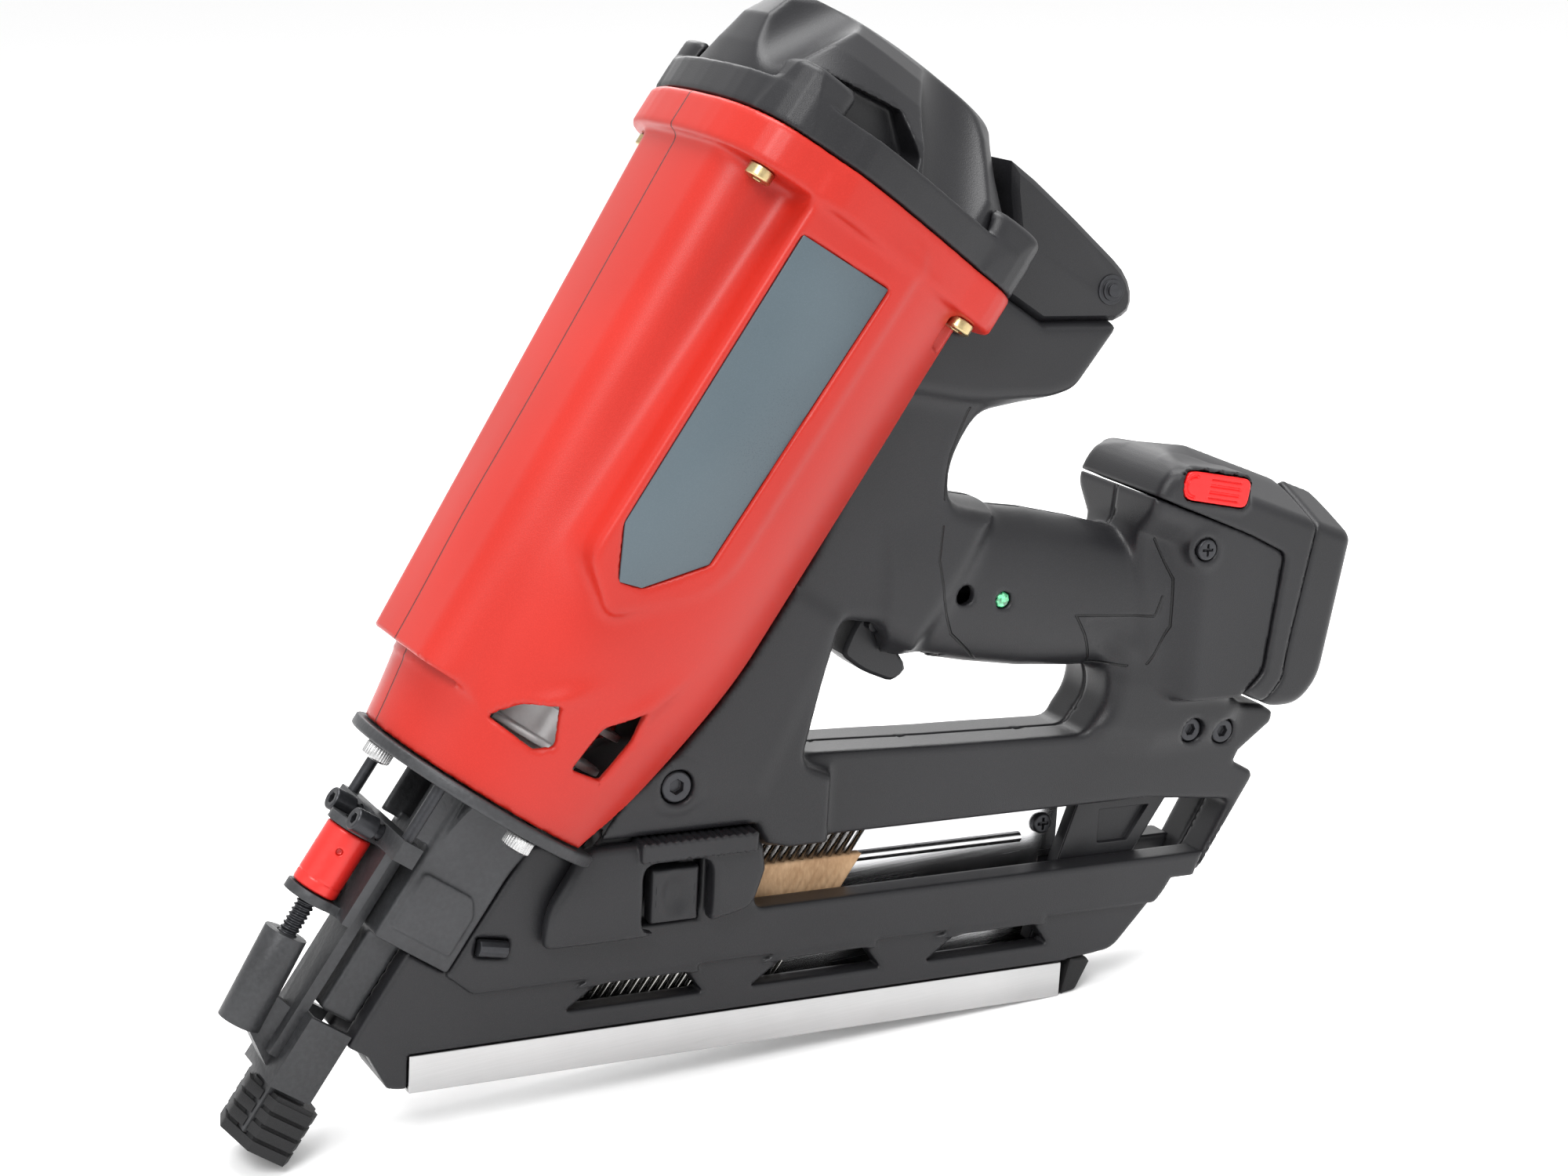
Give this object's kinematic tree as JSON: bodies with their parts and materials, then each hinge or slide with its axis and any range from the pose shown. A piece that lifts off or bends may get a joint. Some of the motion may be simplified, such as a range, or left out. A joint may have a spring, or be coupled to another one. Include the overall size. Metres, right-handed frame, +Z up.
{
  "type": "cordless gas framing nailer",
  "caption": "Cordless gas-powered framing nailer with a tilted strip magazine, battery handle, work contact and hinged fuel cell cover.",
  "frame": {"origin": "middle of the box's underside, on the surface that the tip and the magazine rail stand on", "axes": "+X from the nose tip to the battery end, +Z up as the tool stands on its tip and magazine rail, +Y across to the tool's left side"},
  "size_m": [0.3946, 0.107, 0.3352],
  "materials": {
    "red_nylon": "fine textured moulded red nylon",
    "red_collar": "red coated collar",
    "black_nylon": "textured moulded black nylon",
    "label_grey": "satin grey blank label",
    "foam": "open filter foam",
    "cast_alloy": "as cast",
    "dark_cast": "dark blasted casting",
    "black_steel": "blackened steel",
    "bright_steel": "bright brushed steel",
    "zinc_yellow": "yellow zinc plate",
    "can": "drawn can",
    "rubber": "matt black rubber",
    "lens": "green light pipe",
    "board": "green circuit board",
    "nail_paper": "paper tape holding bright nails"
  },
  "bodies": {
    "frame": {"motor_housing": "red_nylon", "label_right": "label_grey", "label_left": "label_grey", "cap_base": "black_nylon", "top_cap": "black_nylon", "air_filter": "foam", "cylinder_head": "cast_alloy", "fan_motor": "bright_steel", "spark_plug": "bright_steel", "cylinder": "cast_alloy", "bumper": "rubber", "nose_casting": "dark_cast", "gas_cover_pin": "black_steel", "gas_cell": "can", "metering_valve": "black_nylon", "rubber_pad": "rubber", "frame_screw": "black_steel", "cap_screw_1": "zinc_yellow", "cap_screw_2": "zinc_yellow", "cap_screw_3": "zinc_yellow", "cap_screw_4": "zinc_yellow", "nose_screw_1": "bright_steel", "nose_screw_2": "bright_steel", "frame_right": "black_nylon", "frame_left": "black_nylon", "plate_screw_1": "black_steel", "plate_screw_2": "black_steel", "holder_screw": "black_steel", "status_lens": "lens", "trigger_switch": "black_nylon", "ignition_board": "board", "magazine_body": "black_nylon", "skid_rail": "bright_steel", "magazine_foot": "rubber", "magazine_liner": "bright_steel", "liner_screw": "black_steel", "latch_cover": "black_nylon", "release_pin": "black_steel", "nail_strip": "nail_paper"},
    "contact_link": {"link_bracket": "black_steel", "bracket_screw_1": "black_steel", "bracket_screw_2": "black_steel", "lift_rod_right": "bright_steel", "lift_rod_left": "bright_steel", "chamber_sleeve": "cast_alloy"},
    "probe": {"probe_shaft": "black_steel", "probe_tip": "rubber", "adjuster_screw": "black_steel"},
    "depth_barrel": {"depth_barrel": "red_collar"},
    "piston": {"piston": "bright_steel", "driver_blade": "bright_steel"},
    "fan": {"fan": "black_nylon"},
    "trigger": {"trigger": "black_nylon"},
    "gas_cover": {"gas_cover": "black_nylon"},
    "battery": {"battery_pack": "black_nylon", "battery_end_cap": "black_nylon"},
    "battery_button_right": {"battery_button_right": "red_nylon"},
    "battery_button_left": {"battery_button_left": "red_nylon"},
    "pusher": {"pusher": "black_nylon"},
    "latch_button": {"latch_button": "black_nylon"}
  },
  "joints": [
    {"name": "contact_slide", "type": "slide", "parent": "frame", "child": "contact_link", "axis": [0.6047, 0, 0.7964], "range_m": [0, 0.017], "stiffness_N_per_m": 900, "springref_m": -0.03},
    {"name": "depth_adjust", "type": "slide", "parent": "contact_link", "child": "probe", "axis": [0.6047, 0, 0.7964], "range_m": [-0.003, 0.003]},
    {"name": "depth_barrel_turn", "type": "hinge", "parent": "contact_link", "child": "depth_barrel", "pos_m": [-0.15822, 0, 0.09086], "axis": [0.6047, 0, 0.7964], "range_deg": [-720, 720]},
    {"name": "piston_stroke", "type": "slide", "parent": "frame", "child": "piston", "axis": [0.6047, 0, 0.7964], "range_m": [-0.074, 0]},
    {"name": "fan_spin", "type": "hinge", "parent": "frame", "child": "fan", "pos_m": [-0.0184, 0, 0.22953], "axis": [0.6047, 0, 0.7964], "continuous": true},
    {"name": "trigger_pull", "type": "hinge", "parent": "frame", "child": "trigger", "pos_m": [0.01917, 0, 0.14011], "axis": [0, -1, 0], "range_deg": [0, 10], "stiffness_Nm_per_rad": 1.2, "springref_deg": -8.59},
    {"name": "gas_cover_open", "type": "hinge", "parent": "frame", "child": "gas_cover", "pos_m": [0.09824, 0, 0.24142], "axis": [0, 1, 0], "range_deg": [0, 95]},
    {"name": "battery_out", "type": "slide", "parent": "frame", "child": "battery", "axis": [0.9973, 0, -0.0734], "range_m": [0, 0.06]},
    {"name": "battery_button_right_press", "type": "slide", "parent": "battery", "child": "battery_button_right", "axis": [0, 1, 0], "range_m": [0, 0.0024], "stiffness_N_per_m": 1500, "springref_m": -0.001},
    {"name": "battery_button_left_press", "type": "slide", "parent": "battery", "child": "battery_button_left", "axis": [0, -1, 0], "range_m": [0, 0.0024], "stiffness_N_per_m": 1500, "springref_m": -0.001},
    {"name": "pusher_slide", "type": "slide", "parent": "frame", "child": "pusher", "axis": [-0.9973, 0, 0.0734], "range_m": [0, 0.071]},
    {"name": "latch_button_press", "type": "slide", "parent": "frame", "child": "latch_button", "axis": [0, 1, 0], "range_m": [0, 0.0016], "stiffness_N_per_m": 1500, "springref_m": -0.001}
  ],
  "couplings": [
    {"joint": "depth_barrel_turn", "follows": "depth_adjust", "rad_per_m": 4188.8}
  ]
}
